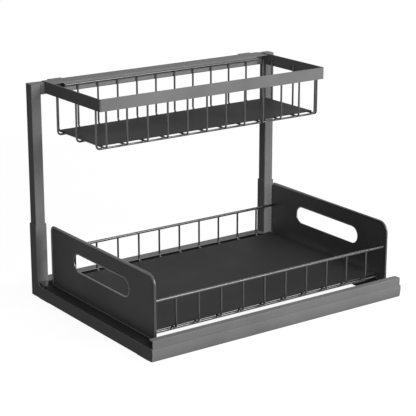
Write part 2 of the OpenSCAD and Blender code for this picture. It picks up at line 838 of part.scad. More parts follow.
side_rail_left();
side_rail_right();
rear_crossbar();
corner_gussets();
post_sleeve_left();
post_sleeve_right();
post_left();
post_right();
top_crossbar();
post_grub_screws();
foot_pads();
slide_outer_left();
slide_outer_right();
slide_bumpers();
ball_retainer_left();
ball_retainer_right();
bearing_balls_left();
bearing_balls_right();
slide_inner_left();
slide_inner_right();
carriage_shelf_left();
carriage_shelf_right();
slide_rivets();
front_bar();
bar_nuts();
lower_panel_left();
lower_panel_right();
lower_front_rail();
lower_rear_rail();
lower_cross_wires();
lower_long_wires();
lower_floor();
upper_rim();
upper_hanger_plate();
upper_rear_rail();
upper_cross_wires();
upper_side_wires();
upper_floor();
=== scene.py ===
# %% [markdown]
# # A two-tier pull-out cabinet basket
# The real object is bent sheet steel and welded wire with a baked powder
# coat: a grey frame, and two black baskets. This lesson dresses an exact
# engineering model of it. The model already knows every size, so each piece
# here is made in the same place, with the rolled rims, soft bends and coat
# that a plain solid lacks.

import math

import bmesh
import bpy
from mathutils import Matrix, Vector


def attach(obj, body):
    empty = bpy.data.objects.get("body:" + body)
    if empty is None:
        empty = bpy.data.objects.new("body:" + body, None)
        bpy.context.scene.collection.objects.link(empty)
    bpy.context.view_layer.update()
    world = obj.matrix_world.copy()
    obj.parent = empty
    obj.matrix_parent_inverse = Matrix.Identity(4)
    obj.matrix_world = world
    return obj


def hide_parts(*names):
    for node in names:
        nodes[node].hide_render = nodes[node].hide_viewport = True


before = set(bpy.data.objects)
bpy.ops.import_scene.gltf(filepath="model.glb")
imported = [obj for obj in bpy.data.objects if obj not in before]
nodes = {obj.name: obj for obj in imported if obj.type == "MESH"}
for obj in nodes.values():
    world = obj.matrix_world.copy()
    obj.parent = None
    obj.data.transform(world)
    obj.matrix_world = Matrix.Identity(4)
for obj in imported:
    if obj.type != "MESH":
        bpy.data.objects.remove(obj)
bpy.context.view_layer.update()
scene = bpy.context.scene

# %% [markdown]
# ## The camera
# The picture to match looks down at the object from the front left. A camera
# is described best by the point it looks at, its turn, its tilt and its
# distance. A long lens from two metres away keeps the upright posts nearly
# parallel, as in product pictures.

# %% Camera
MM = 0.001
LOOK_AT = Vector((-0.0119, 0.0018, 0.1317))
TURN = math.radians(35.40)
TILT = math.radians(16.60)
DISTANCE = 2.012
LENS, SENSOR = 125.1, 36

ahead = Vector((math.sin(TURN) * math.cos(TILT), math.cos(TURN) * math.cos(TILT),
                -math.sin(TILT)))
camera_data = bpy.data.cameras.new("photo_camera")
camera_data.lens = LENS
camera_data.sensor_width = SENSOR
camera = bpy.data.objects.new("photo_camera", camera_data)
camera.location = LOOK_AT - ahead * DISTANCE
camera.rotation_euler = (math.pi / 2 - TILT, 0, -TURN)
scene.collection.objects.link(camera)
scene.camera = camera
print("camera at", [round(c, 3) for c in camera.location])

# %% [markdown]
# ## The powder coat
# Powder coat is sprayed on as dust and melts in an oven. Close up it shows
# fine specks and a slow waviness like orange skin, and it is never quite even
# in gloss. All the coats share that, so it is one shader node group with the
# colours and the grain as its inputs. The Principled shader stays in each
# material, because its fixed settings are made there once.

# %% A helper for node trees
def node(tree, kind, **settings):
    """Add a node. Keys with a leading "in_" fill inputs, by place or name."""
    made = tree.nodes.new(kind)
    for key, value in settings.items():
        if not key.startswith("in_"):
            setattr(made, key, value)
    for key, value in settings.items():
        if key.startswith("in_"):
            place = key[3:].replace("_", " ")
            made.inputs[int(place) if place.isdigit() else place].default_value = value
    return made


def socket(tree, name, kind, side="INPUT", value=None):
    made = tree.interface.new_socket(name, in_out=side, socket_type="NodeSocket" + kind)
    if value is not None:
        made.default_value = value
    return made


# %% Shader group: coat grain
grain = bpy.data.node_groups.new("Coat grain", "ShaderNodeTree")
socket(grain, "Light colour", "Color", value=(0.5, 0.5, 0.5, 1))
socket(grain, "Dark colour", "Color", value=(0.4, 0.4, 0.4, 1))
socket(grain, "Speck size", "Float", value=1200.0)
socket(grain, "Wave size", "Float", value=220.0)
socket(grain, "Smooth roughness", "Float", value=0.35)
socket(grain, "Matt roughness", "Float", value=0.5)
socket(grain, "Colour", "Color", "OUTPUT")
socket(grain, "Roughness", "Float", "OUTPUT")
socket(grain, "Height", "Float", "OUTPUT")

g_in = grain.nodes.new("NodeGroupInput")
g_out = grain.nodes.new("NodeGroupOutput")
place = grain.nodes.new("ShaderNodeTexCoord")
speck = node(grain, "ShaderNodeTexNoise", in_Detail=3.0, in_Roughness=0.6)
wave = node(grain, "ShaderNodeTexNoise", in_Detail=1.0, in_Roughness=0.4)
cloud = node(grain, "ShaderNodeTexNoise", in_Scale=14.0, in_Detail=2.0)
links = grain.links
for texture in (speck, wave, cloud):
    links.new(place.outputs["Object"], texture.inputs["Vector"])
links.new(g_in.outputs["Speck size"], speck.inputs["Scale"])
links.new(g_in.outputs["Wave size"], wave.inputs["Scale"])

# Two noises add up to about one, and the range round it is spread to 0-1.
tone = node(grain, "ShaderNodeMath", operation="ADD")
links.new(speck.outputs["Fac"], tone.inputs[0])
links.new(cloud.outputs["Fac"], tone.inputs[1])
spread = node(grain, "ShaderNodeMapRange", in_1=0.75, in_2=1.25)
links.new(tone.outputs[0], spread.inputs[0])
paint = node(grain, "ShaderNodeMix", data_type="RGBA")
links.new(spread.outputs[0], paint.inputs[0])
links.new(g_in.outputs["Dark colour"], paint.inputs["A"])
links.new(g_in.outputs["Light colour"], paint.inputs["B"])
gloss = node(grain, "ShaderNodeMapRange", in_1=0.35, in_2=0.65)
links.new(cloud.outputs["Fac"], gloss.inputs[0])
links.new(g_in.outputs["Smooth roughness"], gloss.inputs[3])
links.new(g_in.outputs["Matt roughness"], gloss.inputs[4])
height = node(grain, "ShaderNodeMath", operation="MULTIPLY_ADD", in_1=0.25)
links.new(speck.outputs["Fac"], height.inputs[0])
links.new(wave.outputs["Fac"], height.inputs[2])
links.new(paint.outputs["Result"], g_out.inputs["Colour"])
links.new(gloss.outputs[0], g_out.inputs["Roughness"])
links.new(height.outputs[0], g_out.inputs["Height"])
print("coat grain:", len(grain.nodes), "nodes")

# %% [markdown]
# ## The finishes
# Seven finishes cover the object, four of them powder coats. The frame's coat
# is grey. The black one comes in three: dull on floors and shelves, a little
# lighter on the side panels, where the lighter colour is painted light that
# lifts their shaded side faces, and glossy on round wires and rolled rims, where
# a thin line of light runs along the metal. Zinc-plated steel has soft cloudy
# crystals, the bearing balls are bright polished steel, and the rubber is
# dull. Zinc, steel and rubber show only when the drawer is out or the object
# is turned over.

# %% Material maker
def finish(name, light, dark, speck_size, wave_size, rough, bump, **shader):
    """A coat: `rough` runs from smooth to matt, `bump` is strength, distance."""
    made = bpy.data.materials.new(name)
    made.use_nodes = True
    tree = made.node_tree
    surface = tree.nodes["Principled BSDF"]
    coat = tree.nodes.new("ShaderNodeGroup")
    coat.node_tree = grain
    coat.inputs["Light colour"].default_value = (*light, 1)
    coat.inputs["Dark colour"].default_value = (*dark, 1)
    coat.inputs["Speck size"].default_value = speck_size
    coat.inputs["Wave size"].default_value = wave_size
    coat.inputs["Smooth roughness"].default_value = rough[0]
    coat.inputs["Matt roughness"].default_value = rough[1]
    relief = node(tree, "ShaderNodeBump", in_Strength=bump[0], in_Distance=bump[1])
    tree.links.new(coat.outputs["Colour"], surface.inputs["Base Color"])
    tree.links.new(coat.outputs["Roughness"], surface.inputs["Roughness"])
    tree.links.new(coat.outputs["Height"], relief.inputs["Height"])
    tree.links.new(relief.outputs["Normal"], surface.inputs["Normal"])
    for key, value in shader.items():
        surface.inputs[key.replace("_", " ")].default_value = value
    return made


def grey(level, warm=0.0):
    """A linear grey, a little warmer or cooler."""
    return (level * (1 + warm), level, level * (1 - warm))


# %% The seven finishes
GREY_COAT = finish("grey powder coat", grey(0.172), grey(0.134), 1000, 240,
                   (0.46, 0.56), (0.12, 0.0004), Specular_IOR_Level=0.03)
BLACK_COAT = finish("black powder coat", grey(0.0235), grey(0.0175), 1200, 260,
                    (0.58, 0.68), (0.10, 0.0004), Specular_IOR_Level=0.08)
# The panels' coat is a lighter copy of the black coat: painted light on their shaded side
# faces.
BLACK_PANEL_LIGHTENED = finish("black powder coat on panels, lightened as painted light", grey(0.055), grey(0.043), 1200, 260,
                     (0.48, 0.58), (0.10, 0.0004), Specular_IOR_Level=0.15)
BLACK_ROUND = finish("black powder coat on wire", grey(0.0165), grey(0.0125), 1700, 260,
                     (0.22, 0.30), (0.03, 0.0002), Specular_IOR_Level=1.0)
ZINC = finish("zinc plate", grey(0.60, -0.01), grey(0.46, -0.015), 500, 90,
              (0.26, 0.42), (0.08, 0.0003), Metallic=1.0)
STEEL = finish("polished ball steel", grey(0.68), grey(0.62), 900, 120,
               (0.08, 0.14), (0.02, 0.0001), Metallic=1.0)
RUBBER = finish("black rubber", grey(0.022), grey(0.015), 1100, 150,
                (0.70, 0.85), (0.25, 0.0005), Specular_IOR_Level=0.3)
SLOT_FINISH = {"frame_coat": GREY_COAT, "basket_coat": BLACK_COAT,
               "zinc_steel": ZINC, "ball_steel": STEEL, "rubber": RUBBER}
print("slots:", {slot: material.name for slot, material in SLOT_FINISH.items()})

# %% [markdown]
# ## Shared ways to make a piece
# A piece that is sheet steel starts as flat loops of points. Every visible
# edge then gets a small bevel, because real edges are never knife sharp and
# it is the bevel that catches the thin line of light. The finished mesh is
# settled into a plain one, and it rides on its body of the moving model.

# %% Helpers: objects, bevels, hand-over
def as_object(name, mesh):
    made = bpy.data.objects.new(name, mesh)
    scene.collection.objects.link(made)
    return made


def settle(piece):
    """Turn the modifiers' result into the piece's own plain mesh."""
    graph = bpy.context.evaluated_depsgraph_get()
    flat = bpy.data.meshes.new_from_object(piece.evaluated_get(graph))
    piece.modifiers.clear()
    if piece.type != "MESH":
        name = piece.name
        bpy.data.objects.remove(piece)
        return as_object(name, flat)
    piece.data = flat
    return piece


def soften(piece, width, steps=2, limit=35):
    bevel = piece.modifiers.new("soft edges", "BEVEL")
    bevel.width = width * MM
    bevel.segments = steps
    bevel.limit_method = "ANGLE"
    bevel.angle_limit = math.radians(limit)
    bevel.use_clamp_overlap = False
    piece.data.shade_smooth()
    weighted = piece.modifiers.new("flat faces stay flat", "WEIGHTED_NORMAL")
    weighted.weight = 100
    return settle(piece)


def hand_over(piece, slot, body, *replaced, finishes=None):
    """Give the piece its finish, its body and the nodes it stands for."""
    marks = [face.material_index for face in piece.data.polygons]
    piece.data.materials.clear()
    for material in finishes or [SLOT_FINISH[slot]]:
        piece.data.materials.append(material)
    piece.data.polygons.foreach_set("material_index", marks)
    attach(piece, body)
    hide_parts(*replaced)
    print(f"{piece.name}: {len(piece.data.polygons)} faces on {body}")


# %% Helper: soften a copy of an exact node
WELD = 0.002 * MM
FLAT = math.radians(0.6)


def softened_copy(name, node_name, width, steps=2):
    """Copy a node's mesh, join its loose triangles and bevel its edges."""
    mesh = nodes[node_name].data.copy()
    mesh.name = name
    work = bmesh.new()
    work.from_mesh(mesh)
    bmesh.ops.remove_doubles(work, verts=work.verts, dist=WELD)
    bmesh.ops.dissolve_limit(work, angle_limit=FLAT, verts=work.verts, edges=work.edges)
    work.to_mesh(mesh)
    work.free()
    return soften(as_object(name, mesh), width, steps)


# %% Helper: a prism lofted through equal loops
def loft(name, loops):
    """Skin loops with the same number of points and close both ends."""
    work = bmesh.new()
    rings = [[work.verts.new(Vector(p) * MM) for p in loop] for loop in loops]
    count = len(rings[0])
    for a, b in zip(rings, rings[1:]):
        for i in range(count):
            j = (i + 1) % count
            work.faces.new((a[i], a[j], b[j], b[i]))
    work.faces.new(rings[0][::-1])
    work.faces.new(rings[-1])
    bmesh.ops.recalc_face_normals(work, faces=work.faces)
    mesh = bpy.data.meshes.new(name)
    work.to_mesh(mesh)
    work.free()
    return as_object(name, mesh)


def arc(centre, radius, start, end, steps):
    """Points on an arc in a plane, angles in degrees."""
    turns = [math.radians(start + (end - start) * i / steps) for i in range(steps + 1)]
    return [(centre[0] + radius * math.cos(t), centre[1] + radius * math.sin(t))
            for t in turns]


# %% [markdown]
# ## The grey frame
# Rails, sleeves, posts and crossbars are tube and folded sheet. Their shapes
# in the exact model are right, so each piece is a copy with its edges broken
# by a few tenths of a millimetre, as folding and coating leave them. The rear
# crossbar is a channel that is open to the front. The faces inside its hollow
# take the black coat as painted shade, so the hollow reads dark.

# %% Frame pieces: the width of each bevel, in millimetres
FRAME_EDGES = {
    "side_rail_left": 0.35, "side_rail_right": 0.35, "rear_crossbar": 0.45,
    "corner_gussets": 0.25, "post_sleeve_left": 0.45, "post_sleeve_right": 0.45,
    "post_left": 0.25, "post_right": 0.25, "top_crossbar": 0.1,
}
SHADED_HOLLOW_LOW = Vector((-210.0, 141.7, 2.4)) * MM
SHADED_HOLLOW_HIGH = Vector((210.0, 155.1, 22.6)) * MM


def paint_hollow_shade(piece):
    """Mark the faces inside the channel for the black coat, painted shade in the hollow."""
    for face in piece.data.polygons:
        face.material_index = all(low < c < high for low, c, high in
                                  zip(SHADED_HOLLOW_LOW, face.center, SHADED_HOLLOW_HIGH))


for node_name, width in FRAME_EDGES.items():
    piece = softened_copy(node_name + "_coated", node_name, width)
    coats = [GREY_COAT]
    # The black coat inside the rear crossbar's hollow is painted shade, not a real second
    # colour.
    if node_name == "rear_crossbar":
        paint_hollow_shade(piece)
        coats = [GREY_COAT, BLACK_COAT]
    hand_over(piece, "frame_coat", "frame", node_name, finishes=coats)

# %% [markdown]
# ## The front bar
# This is the brightest piece in the picture. One strip is folded three times:
# a lower band that bows outwards, a step inwards at the crease, a nearly flat
# upper band and a flange that turns back over the drawer. The bow stands out
# most just under the crease and falls away to the bottom edge, so the light
# fades downwards as in the picture. The bar is skinned through cross-sections
# along its length, so the flange can be cut round at its two rear corners.

# %% Front bar sizes, in millimetres
HALF_W = 210.0
Y_FRONT = -156.5
BAR_LOW, CREASE, BAR_TOP = 1.0, 18.3, 29.2
BAR_T, BAR_STEP = 2.3, 1.1
BOW_R, BOW_TOP, UPPER_BOW = 42.0, 5.0, 0.5
BAND_INSET, FLANGE_D, FLANGE_T, FLANGE_R = 1.3, 11.5, 1.5, 4.0
FOLD_R, OVERLAP = 0.9, 0.4
LOWER_STEPS, UPPER_STEPS, FOLD_STEPS, CORNER_STEPS = 16, 8, 4, 8


def lower_band_loop(x):
    """The bowed band: it stands out most near the crease, then curls back."""
    back = Y_FRONT + BAR_T
    face = []
    for i in range(LOWER_STEPS + 1):
        z = BAR_LOW + (CREASE - BAR_LOW) * i / LOWER_STEPS
        off = z - (CREASE - BOW_TOP)
        sag = BOW_R - math.sqrt(BOW_R * BOW_R - off * off)
        face.append((x, Y_FRONT + sag, z))
    return face + [(x, back, CREASE), (x, back, BAR_LOW)]


def upper_band_loop(x):
    """The upper band with its flange: an L with a rounded outer fold."""
    face, back = Y_FRONT + BAR_STEP, Y_FRONT + BAR_T
    into = HALF_W - BAND_INSET - abs(x)
    cut = FLANGE_R - math.sqrt(max(0, FLANGE_R ** 2 - max(0, FLANGE_R - into) ** 2))
    rear = Y_FRONT + FLANGE_D - cut
    fold = arc((face + FOLD_R, BAR_TOP - FOLD_R), FOLD_R, 180, 90, FOLD_STEPS)
    low, high = CREASE - OVERLAP, BAR_TOP - FOLD_R
    bow = [(face + UPPER_BOW * (1 - i / UPPER_STEPS) ** 2,
            low + (high - low) * i / UPPER_STEPS) for i in range(UPPER_STEPS)]
    loop = [*bow, *fold, (rear, BAR_TOP), (rear, BAR_TOP - FLANGE_T),
            (back, BAR_TOP - FLANGE_T), (back, low)]
    return [(x, y, z) for y, z in loop]


# %% Build the front bar
end = HALF_W - BAND_INSET
turns = [math.radians(90 * i / CORNER_STEPS) for i in range(CORNER_STEPS + 1)]
corner_x = [end - FLANGE_R * (1 - math.cos(t)) for t in turns]
upper_x = [-x for x in corner_x] + corner_x[::-1]
lower_band = soften(loft("lower_band", [lower_band_loop(x) for x in (-HALF_W, HALF_W)]),
                    width=0.35, steps=3, limit=30)
upper_band = soften(loft("upper_band", [upper_band_loop(x) for x in upper_x]),
                    width=0.3, steps=2, limit=40)


def join(name, *pieces):
    """Put several settled pieces in one mesh."""
    work = bmesh.new()
    for piece in pieces:
        work.from_mesh(piece.data)
    mesh = bpy.data.meshes.new(name)
    work.to_mesh(mesh)
    work.free()
    for piece in pieces:
        bpy.data.objects.remove(piece)
    return as_object(name, mesh)


hand_over(join("front_bar_folded", lower_band, upper_band), "frame_coat", "carriage",
          "front_bar")

# %% [markdown]
# ## The carriage shelves
# Two dark folded shelves carry the lower basket and run on the slides. Only
# the strip beside the basket shows. The exact shape is right, so it gets its
# soft edges and the black coat.

# %% Shelves
for side in ("left", "right"):
    hand_over(softened_copy(f"carriage_shelf_{side}_coated", f"carriage_shelf_{side}", 0.2),
              "basket_coat", "carriage", f"carriage_shelf_{side}")

# %% [markdown]
# ## The side panels of the lower basket
# Each panel is a 1 mm sheet. Its whole edge is rolled into a round bead and
# its handle slot has a raised lip, so no cut edge meets a hand. A flat plate
# with a bevel would miss that roll, which shows as a bright line with a dark
# one beside it. So the mesh is made of rings: the outline is drawn once and
# repeated further in and further out of the sheet along the bead's own
# cross-section. The roll is glossier than the sheet, except along the foot,
# where the picture shows no line of light.

# %% Panel outline
PANEL_X, PANEL_T = 194.3, 1.0
PANEL_Y0, PANEL_Y1 = -141.8, 122.2
PANEL_Z0, PANEL_Z1 = 20.0, 109.7
R_TOP_FRONT, R_TOP_REAR, R_LOW_FRONT, R_LOW_REAR = 16.0, 9.0, 8.0, 4.0
BEAD_R, BEAD_FOOT = 1.5, 0.35
SLOT_Y, SLOT_Z, SLOT_HALF, SLOT_R = -9.8, 73.2, 57.3, 12.2
LIP_W, LIP_H, LIP_FOOT, LIP_START = 1.2, 1.0, 0.3, 30
DULL_FOOT = 4.0
PANEL_STEPS, SLOT_STEPS, BEAD_STEPS, LIP_STEPS = 14, 24, 18, 12


def panel_loop(inset):
    """The panel's outline, moved in by `inset`, as (y, z) points."""
    y0, y1, z0, z1 = PANEL_Y0, PANEL_Y1, PANEL_Z0, PANEL_Z1
    corners = [(y0 + R_LOW_FRONT, z0 + R_LOW_FRONT, R_LOW_FRONT, 180),
               (y1 - R_LOW_REAR, z0 + R_LOW_REAR, R_LOW_REAR, 270),
               (y1 - R_TOP_REAR, z1 - R_TOP_REAR, R_TOP_REAR, 0),
               (y0 + R_TOP_FRONT, z1 - R_TOP_FRONT, R_TOP_FRONT, 90)]
    points = []
    for y, z, radius, start in corners:
        points += arc((y, z), radius - inset, start, start + 90, PANEL_STEPS)
    return points


def slot_loop(outset):
    """The handle slot's outline, grown by `outset`."""
    radius = SLOT_R + outset
    front = arc((SLOT_Y - SLOT_HALF, SLOT_Z), radius, 90, 270, SLOT_STEPS)
    return front + arc((SLOT_Y + SLOT_HALF, SLOT_Z), radius, -90, 90, SLOT_STEPS)


# %% Build one panel
def bead_section():
    """(inset, side) pairs round the rolled edge, from sheet to sheet."""
    start = math.degrees(math.asin(PANEL_T / 2 / BEAD_R))
    ring = arc((BEAD_R, 0), BEAD_R, start, 360 - start, BEAD_STEPS)
    foot = ring[0][0] + BEAD_FOOT
    return [(foot, PANEL_T / 2), *ring, (foot, -PANEL_T / 2)]


def lip_section():
    """(outset, side) pairs round the slot's lip, from sheet to sheet."""
    pairs = []
    for i in range(LIP_STEPS + 1):
        turn = math.radians(LIP_START + (360 - 2 * LIP_START) * i / LIP_STEPS)
        pairs.append((LIP_W / 2 * (1 + math.cos(turn)), LIP_H * math.sin(turn)))
    foot = LIP_W + LIP_FOOT
    return [(foot, PANEL_T / 2), *pairs, (foot, -PANEL_T / 2)]


def build_panel(name, side):
    """Rings round the outline and the slot, and a flat sheet between them."""
    work = bmesh.new()
    flats = {1: [], -1: []}
    for outline, section in ((panel_loop, bead_section()), (slot_loop, lip_section())):
        rings = []
        for shift, lift in section:
            rings.append([work.verts.new((side * (PANEL_X + lift) * MM, y * MM, z * MM))
                          for y, z in outline(shift)])
        for a, b in zip(rings, rings[1:]):
            for i in range(len(a)):
                j = (i + 1) % len(a)
                face = work.faces.new((a[i], a[j], b[j], b[i]))
                face.material_index = int(a[i].co.z > (PANEL_Z0 + DULL_FOOT) * MM)
        for face, ring in ((1, rings[0]), (-1, rings[-1])):
            flats[face] += [work.edges.get((ring[i], ring[(i + 1) % len(ring)]))
                            for i in range(len(ring))]
    for face in (1, -1):
        bmesh.ops.triangle_fill(work, edges=flats[face], use_beauty=True,
                                normal=(face * side, 0, 0))
    bmesh.ops.recalc_face_normals(work, faces=work.faces)
    mesh = bpy.data.meshes.new(name)
    work.to_mesh(mesh)
    work.free()
    mesh.shade_smooth()
    piece = as_object(name, mesh)
    piece.modifiers.new("flat faces stay flat", "WEIGHTED_NORMAL").weight = 100
    return settle(piece)


# The sheet and the foot of the roll take the lightened panel coat, which is painted light
# on the shaded side faces.
for side_name, side in (("left", -1), ("right", 1)):
    hand_over(build_panel(f"lower_panel_{side_name}_rolled", side),
              "basket_coat", "lower_basket", f"lower_panel_{side_name}",
              finishes=[BLACK_PANEL_LIGHTENED, BLACK_ROUND])

# %% [markdown]
# ## Wires by Geometry Nodes
# All the wire work follows one rule: a path is bent to a radius, given a
# round section, and repeated at an even pitch. That is a node tree with named
# inputs. The path is a short curve of straight legs, so changing a basket
# means changing a few numbers.

# %% Geometry Nodes tree: bent wires in a row
wires = bpy.data.node_groups.new("Bent wires in a row", "GeometryNodeTree")
socket(wires, "Path", "Geometry")
WIRE_INPUTS = {
    "Wire radius": socket(wires, "Wire radius", "Float").identifier,
    "Bend radius": socket(wires, "Bend radius", "Float").identifier,
    "Sides": socket(wires, "Sides", "Int").identifier,
    "Copies": socket(wires, "Copies", "Int").identifier,
    "Step": socket(wires, "Step", "Vector").identifier,
    "Finish": socket(wires, "Finish", "Material").identifier,
}
socket(wires, "Wires", "Geometry", "OUTPUT")

w_in = wires.nodes.new("NodeGroupInput")
w_out = wires.nodes.new("NodeGroupOutput")
bend = node(wires, "GeometryNodeFilletCurve", mode="POLY", in_Count=7)
section = wires.nodes.new("GeometryNodeCurvePrimitiveCircle")
sweep = wires.nodes.new("GeometryNodeCurveToMesh")
sweep.inputs["Fill Caps"].default_value = True
row = wires.nodes.new("GeometryNodeMeshLine")
spread_out = wires.nodes.new("GeometryNodeInstanceOnPoints")
real = wires.nodes.new("GeometryNodeRealizeInstances")
painted = wires.nodes.new("GeometryNodeSetMaterial")
links = wires.links
links.new(w_in.outputs["Path"], bend.inputs["Curve"])
links.new(w_in.outputs["Bend radius"], bend.inputs["Radius"])
links.new(w_in.outputs["Sides"], section.inputs["Resolution"])
links.new(w_in.outputs["Wire radius"], section.inputs["Radius"])
links.new(bend.outputs["Curve"], sweep.inputs["Curve"])
links.new(section.outputs["Curve"], sweep.inputs["Profile Curve"])
links.new(w_in.outputs["Copies"], row.inputs["Count"])
links.new(w_in.outputs["Step"], row.inputs["Offset"])
links.new(row.outputs["Mesh"], spread_out.inputs["Points"])
links.new(sweep.outputs["Mesh"], spread_out.inputs["Instance"])
links.new(spread_out.outputs["Instances"], real.inputs["Geometry"])
links.new(real.outputs["Geometry"], painted.inputs["Geometry"])
links.new(w_in.outputs["Finish"], painted.inputs["Material"])
links.new(painted.outputs["Geometry"], w_out.inputs["Wires"])
print("wire tree:", len(wires.nodes), "nodes")


# %% Helper: run the wire tree on one path
def wire_row(name, points, radius, copies=1, step=(0, 0, 0), bend_radius=5.0, sides=20):
    """Points in mm; the result is a plain mesh of all the copies."""
    path = bpy.data.curves.new(name, "CURVE")
    path.dimensions = "3D"
    line = path.splines.new("POLY")
    line.points.add(len(points) - 1)
    for spot, p in zip(line.points, points):
        spot.co = (*(Vector(p) * MM), 1)
    piece = as_object(name, path)
    tree = piece.modifiers.new("wires", "NODES")
    tree.node_group = wires
    values = {"Wire radius": radius * MM, "Bend radius": bend_radius * MM,
              "Sides": sides, "Copies": copies, "Step": [s * MM for s in step],
              "Finish": BLACK_ROUND}
    for label, value in values.items():
        tree[WIRE_INPUTS[label]] = value
    return tidy_shell(settle(piece))


def tidy_shell(piece):
    """Round off: smooth sides, crisp ends, faces outwards."""
    work = bmesh.new()
    work.from_mesh(piece.data)
    bmesh.ops.remove_doubles(work, verts=work.verts, dist=0.001 * MM)
    if work.calc_volume(signed=True) < 0:
        bmesh.ops.reverse_faces(work, faces=work.faces)
    work.to_mesh(piece.data)
    work.free()
    piece.data.shade_smooth()
    piece.data.set_sharp_from_angle(angle=math.radians(50))
    return piece


def hand_over_wires(piece, body, replaced):
    hand_over(piece, "basket_coat", body, replaced, finishes=[BLACK_ROUND])


# %% Lower basket: fence rails and wires
SHEET_IN, PANEL_OUT = 193.8, 195.8
FENCE_Y0, FENCE_Y1, FENCE_Z = -136.5, 116.9, 73.5
RAIL_R, WIRE_R, WELD_DEPTH = 2.0, 1.4, 0.3
CROSS_Z, LONG_Z, LONG_R = 30.3, 26.9, 2.0
PITCH, FENCE_WIRES = 35.6, 10

for rail, y in (("lower_front_rail", FENCE_Y0), ("lower_rear_rail", FENCE_Y1)):
    straight = [(-SHEET_IN, y, FENCE_Z), (SHEET_IN, y, FENCE_Z)]
    hand_over_wires(wire_row(rail + "_wire", straight, RAIL_R, sides=28),
                    "lower_basket", rail)

first = -PANEL_OUT + PITCH
leg_top = FENCE_Z - RAIL_R + WELD_DEPTH
u_shape = [(first, FENCE_Y0, leg_top), (first, FENCE_Y0, CROSS_Z),
           (first, FENCE_Y1, CROSS_Z), (first, FENCE_Y1, leg_top)]
hand_over_wires(wire_row("lower_cross_wires_bent", u_shape, WIRE_R,
                         copies=FENCE_WIRES, step=(PITCH, 0, 0)),
                "lower_basket", "lower_cross_wires")

# %% Lower basket: long wires under the cross wires
LONG_END = 191.8
LONG_YS = (-126.4, -116.4, -9.8, 106.8)
rows = [wire_row(f"long_{i}", [(-LONG_END, y, LONG_Z), (LONG_END, y, LONG_Z)], LONG_R)
        for i, y in enumerate(LONG_YS)]
hand_over_wires(join("lower_long_wires_round", *rows), "lower_basket", "lower_long_wires")

# %% [markdown]
# ## The floor sheets
# Each basket has a sheet laid on its wires. It is flat, with rounded edges
# that show as a pale line at the front. A rounded rectangle is lofted from a
# few loops that step in at the top and bottom.

# %% Floor sheets, in millimetres
LOWER_FLOOR = dict(x=187.0, y0=-128.5, y1=108.2, z0=31.7, z1=32.7, corner=1.5, edge=0.4)
UPPER_FLOOR = dict(x=179.0, y0=9.5, y1=118.55, z0=243.0, z1=244.0, corner=2.0, edge=0.4)
SHARPEST = 0.05


def rounded_plate(name, x, y0, y1, z0, z1, corner, edge):
    """A plate with plan corners `corner` and edges rounded by `edge`."""
    spots = [(x - corner, y1 - corner, 0), (-x + corner, y1 - corner, 90),
             (-x + corner, y0 + corner, 180), (x - corner, y0 + corner, 270)]

    def loop(inset, z):
        radius = max(corner - inset, SHARPEST)
        return [(px, py, z) for cx, cy, start in spots
                for px, py in arc((cx, cy), radius, start, start + 90, 6)]

    steps = [math.radians(t) for t in (0, 30, 60, 90)]
    levels = [(edge * (1 - math.sin(t)), z0 + edge * (1 - math.cos(t))) for t in steps]
    levels += [(inset, z0 + z1 - z) for inset, z in levels[::-1]]
    piece = loft(name, [loop(inset, z) for inset, z in levels])
    piece.data.shade_smooth()
    piece.modifiers.new("flat faces stay flat", "WEIGHTED_NORMAL").weight = 100
    return settle(piece)


hand_over(rounded_plate("lower_floor_sheet", **LOWER_FLOOR),
          "basket_coat", "lower_basket", "lower_floor")
hand_over(rounded_plate("upper_floor_sheet", **UPPER_FLOOR),
          "basket_coat", "upper_basket", "upper_floor")

# %% [markdown]
# ## The rim of the upper basket
# A 2 mm strip stands on edge and is folded round three sides. The folds are
# soft, with a radius outside and a smaller one inside, so a vertical line of
# light runs down each front corner. It is one loop of points seen from
# above, lofted upwards.

# %% Rim strip
RIM_X, RIM_Y, RIM_BACK = 187.6, -5.1, 139.25
RIM_Z0, RIM_Z1, RIM_T, RIM_R = 292.2, 308.8, 2.0, 3.0
RIM_STEPS = 10


def rim_loop(z):
    """Along the outside of the strip to the right, and back along its inside."""
    left = (-RIM_X + RIM_R, RIM_Y + RIM_R)
    right = (RIM_X - RIM_R, RIM_Y + RIM_R)
    outer = [(-RIM_X, RIM_BACK)]
    outer += arc(left, RIM_R, 180, 270, RIM_STEPS)
    outer += arc(right, RIM_R, 270, 360, RIM_STEPS)
    outer += [(RIM_X, RIM_BACK)]
    inner = [(RIM_X - RIM_T, RIM_BACK)]
    inner += arc(right, RIM_R - RIM_T, 360, 270, RIM_STEPS)
    inner += arc(left, RIM_R - RIM_T, 270, 180, RIM_STEPS)
    inner += [(-RIM_X + RIM_T, RIM_BACK)]
    return [(x, y, z) for x, y in outer + inner]


hand_over(soften(loft("upper_rim_folded", [rim_loop(RIM_Z0), rim_loop(RIM_Z1)]),
                 width=0.3, steps=2, limit=40), "frame_coat", "upper_basket", "upper_rim")
hand_over(softened_copy("upper_hanger_folded", "upper_hanger_plate", 0.22),
          "frame_coat", "upper_basket", "upper_hanger_plate")

# %% Upper basket: the rail wire under the hanger plate
HANGER_X, HANGER_Y, HANGER_Z, HANGER_R = 165.0, 123.75, 303.4, 1.8
straight = [(-HANGER_X, HANGER_Y, HANGER_Z), (HANGER_X, HANGER_Y, HANGER_Z)]
hand_over_wires(wire_row("upper_rear_rail_wire", straight, HANGER_R, sides=24),
                "upper_basket", "upper_rear_rail")

